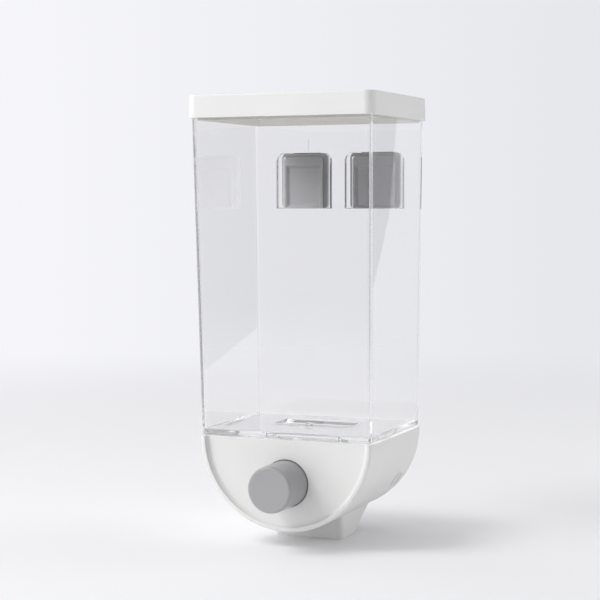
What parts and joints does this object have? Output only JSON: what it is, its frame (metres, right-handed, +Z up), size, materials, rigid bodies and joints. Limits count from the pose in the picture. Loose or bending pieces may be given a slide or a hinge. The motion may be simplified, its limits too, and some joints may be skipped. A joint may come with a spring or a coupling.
{
  "type": "wall-mounted cereal dispenser",
  "caption": "Clear tapered food tank with a white lift-off lid, on a half-round base with a push button, a sliding shutter and a spout; hangs on adhesive hooks",
  "frame": {"origin": "centre of the bounding box in plan, at the height of the spout's foot on which the dispenser stands", "axes": "+Z up the tank, +Y towards the wall that the dispenser hangs on, -Y towards the user and the button, +X to the right seen from the front"},
  "size_m": [0.1184, 0.1182, 0.2689],
  "materials": {
    "white_plastic": "satin white moulded plastic",
    "inner_plastic": "plain off-white moulded plastic",
    "grey_plastic": "satin mid-grey moulded plastic",
    "clear_plastic": "polished clear plastic",
    "soft_seal": "soft translucent sealing rubber",
    "foam_pad": "white adhesive foam",
    "spring_steel": "drawn steel wire",
    "screw_steel": "plain steel screw"
  },
  "bodies": {
    "dispenser": {"tank": "clear_plastic", "tank_gasket": "soft_seal", "base_shell": "white_plastic", "back_cover": "white_plastic", "hopper": "inner_plastic", "throat_seal": "soft_seal", "gate_tray": "inner_plastic", "outlet_chute": "inner_plastic", "return_spring": "spring_steel", "deck_screw_1": "screw_steel", "deck_screw_2": "screw_steel", "deck_screw_3": "screw_steel", "deck_screw_4": "screw_steel", "tray_screw_1": "screw_steel", "tray_screw_2": "screw_steel", "tray_screw_3": "screw_steel", "tray_screw_4": "screw_steel", "cover_screw_1": "screw_steel", "cover_screw_2": "screw_steel", "cover_screw_3": "screw_steel", "cover_screw_4": "screw_steel"},
    "lid": {"lid_shell": "white_plastic", "lid_plug": "inner_plastic", "lid_seal": "soft_seal"},
    "button": {"button_cap": "grey_plastic", "button_plunger": "inner_plastic", "button_screw": "screw_steel", "gate_screw_left": "screw_steel", "gate_screw_right": "screw_steel", "gate_plate": "inner_plastic"},
    "left_hook": {"hook_left": "grey_plastic", "pad_left": "foam_pad"},
    "right_hook": {"hook_right": "grey_plastic", "pad_right": "foam_pad"}
  },
  "joints": [
    {"name": "button_press", "type": "slide", "parent": "dispenser", "child": "button", "axis": [0, 1, 0], "range_m": [0, 0.013], "stiffness_N_per_m": 180, "springref_m": -0.012, "deforming": ["return_spring"]},
    {"name": "lid_lift", "type": "slide", "parent": "dispenser", "child": "lid", "axis": [0, 0, 1], "range_m": [0, 0.03]},
    {"name": "hook_left_slide", "type": "slide", "parent": "dispenser", "child": "left_hook", "axis": [0, 0, -1], "range_m": [0, 0.035]},
    {"name": "hook_right_slide", "type": "slide", "parent": "dispenser", "child": "right_hook", "axis": [0, 0, -1], "range_m": [0, 0.035]}
  ]
}
